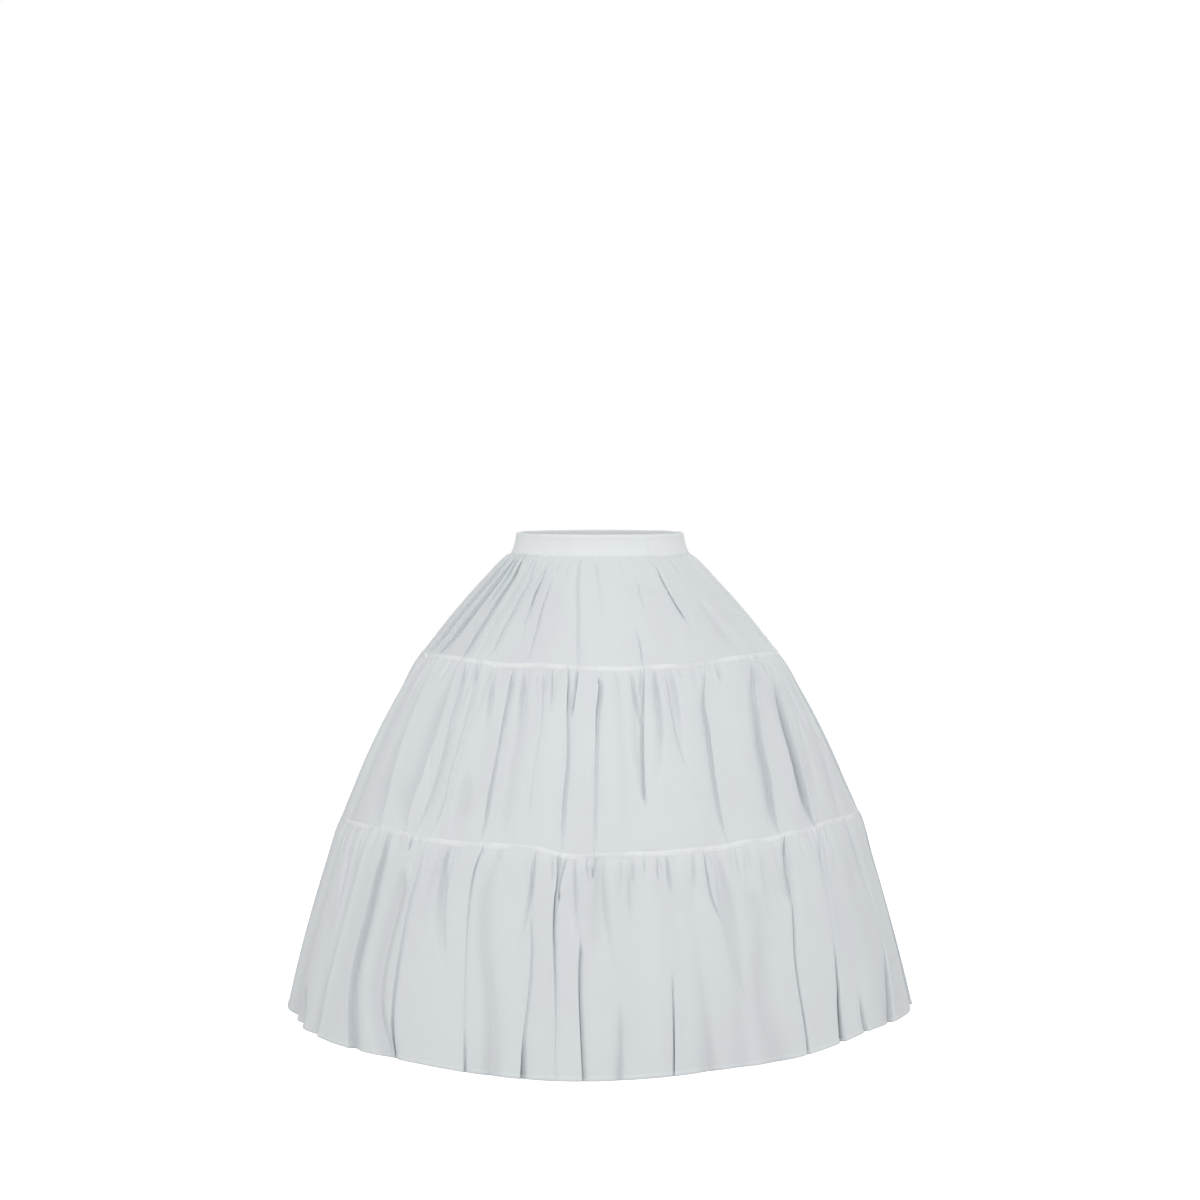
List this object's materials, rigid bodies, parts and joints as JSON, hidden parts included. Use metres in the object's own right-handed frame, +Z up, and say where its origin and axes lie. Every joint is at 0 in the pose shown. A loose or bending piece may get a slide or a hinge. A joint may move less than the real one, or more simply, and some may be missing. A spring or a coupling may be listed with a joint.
{
  "type": "hooped tiered petticoat",
  "caption": "Gathered tiered cloth petticoat with an elastic waistband, held out in a bell shape by an inner cage of flat hoops in casings hung on tapes.",
  "frame": {"origin": "centre of the waist opening, level with the waistband's top edge", "axes": "+Z up out of the waist, the front faces -Y, +X is the wearer's left"},
  "size_m": [0.8013, 0.8004, 0.605],
  "materials": {
    "skirt_cloth": "matte, thin, slightly sheer",
    "band_cloth": "matte, closely woven",
    "elastic": "matte, ribbed elastic webbing",
    "tape_cloth": "matte twill tape",
    "hoop_strip": "satin",
    "sleeve_plastic": "satin"
  },
  "bodies": {
    "root": {"waistband": "band_cloth", "waist_elastic": "elastic", "upper_tier": "skirt_cloth", "middle_tier": "skirt_cloth", "lower_tier": "skirt_cloth", "upper_casing": "tape_cloth", "upper_hoop": "hoop_strip", "upper_sleeve": "sleeve_plastic", "middle_casing": "tape_cloth", "middle_hoop": "hoop_strip", "middle_sleeve": "sleeve_plastic", "hem_casing": "tape_cloth", "hem_hoop": "hoop_strip", "hem_sleeve": "sleeve_plastic", "tape_1": "tape_cloth", "tape_2": "tape_cloth", "tape_3": "tape_cloth", "tape_4": "tape_cloth", "tape_5": "tape_cloth", "tape_6": "tape_cloth", "tape_7": "tape_cloth", "tape_8": "tape_cloth"}
  },
  "joints": []
}
